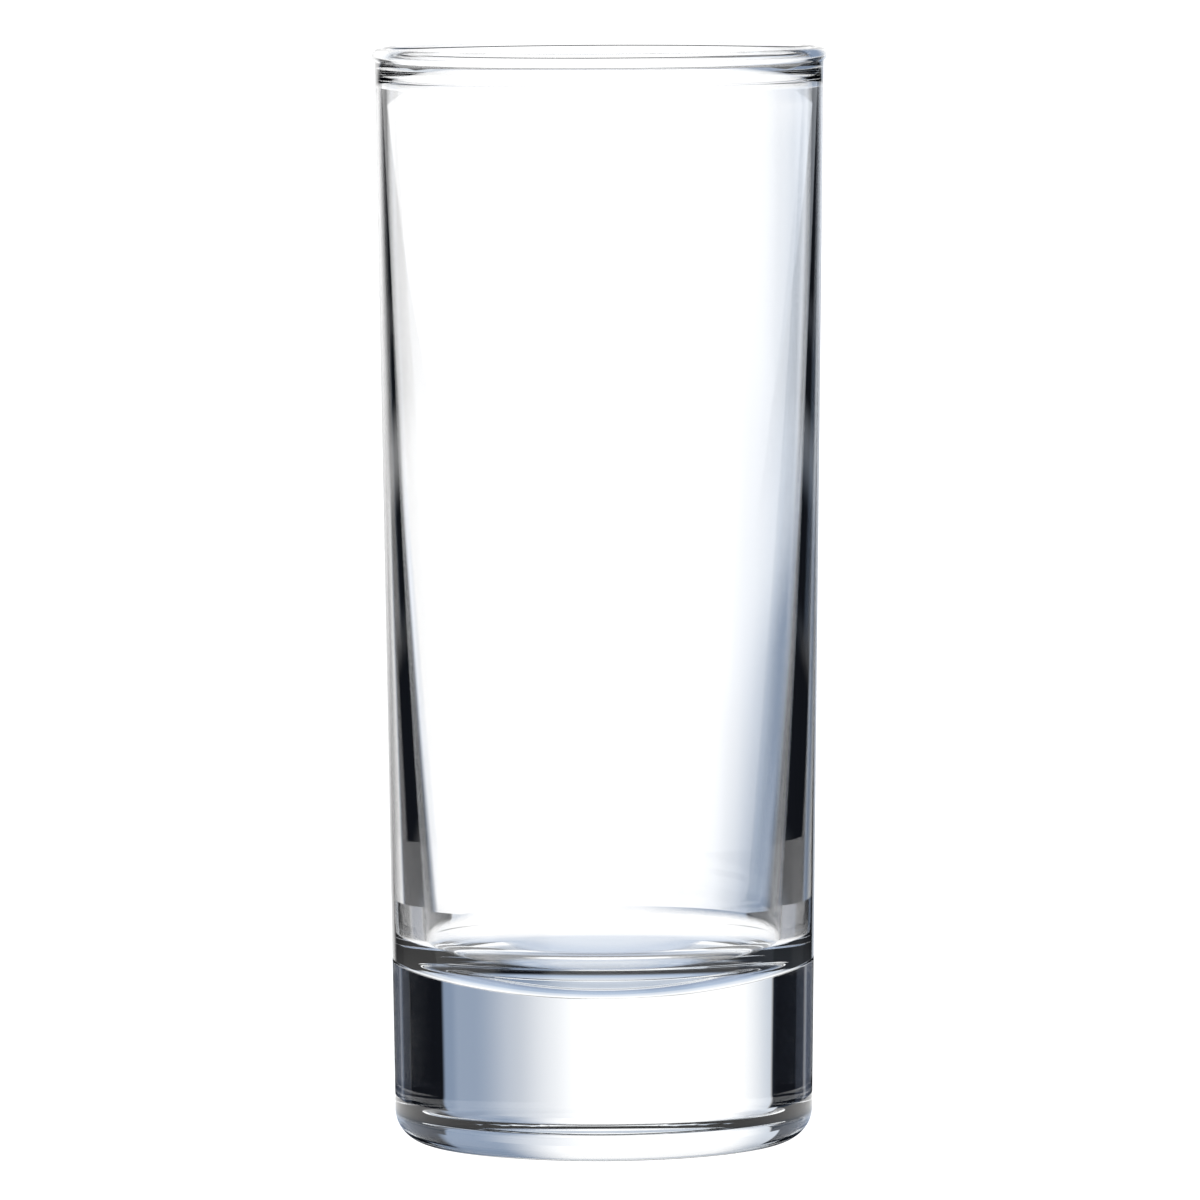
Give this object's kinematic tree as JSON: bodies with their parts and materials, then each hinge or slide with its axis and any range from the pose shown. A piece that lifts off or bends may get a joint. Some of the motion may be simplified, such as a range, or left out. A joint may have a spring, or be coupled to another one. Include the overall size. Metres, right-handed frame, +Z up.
{
  "type": "highball glass",
  "caption": "Tall straight-sided drinking glass with a slight taper, a rounded rim bead and a thick solid base, made as one piece of clear glass.",
  "frame": {"origin": "centre of the ring that the glass stands on, at the lowest point", "axes": "+Z up along the axis of the glass, from the base towards the rim; X and Y are alike"},
  "size_m": [0.0616, 0.0616, 0.1488],
  "materials": {
    "clear_glass": "clear fire-polished soda-lime glass"
  },
  "bodies": {
    "root": {"tumbler": "clear_glass"}
  },
  "joints": []
}
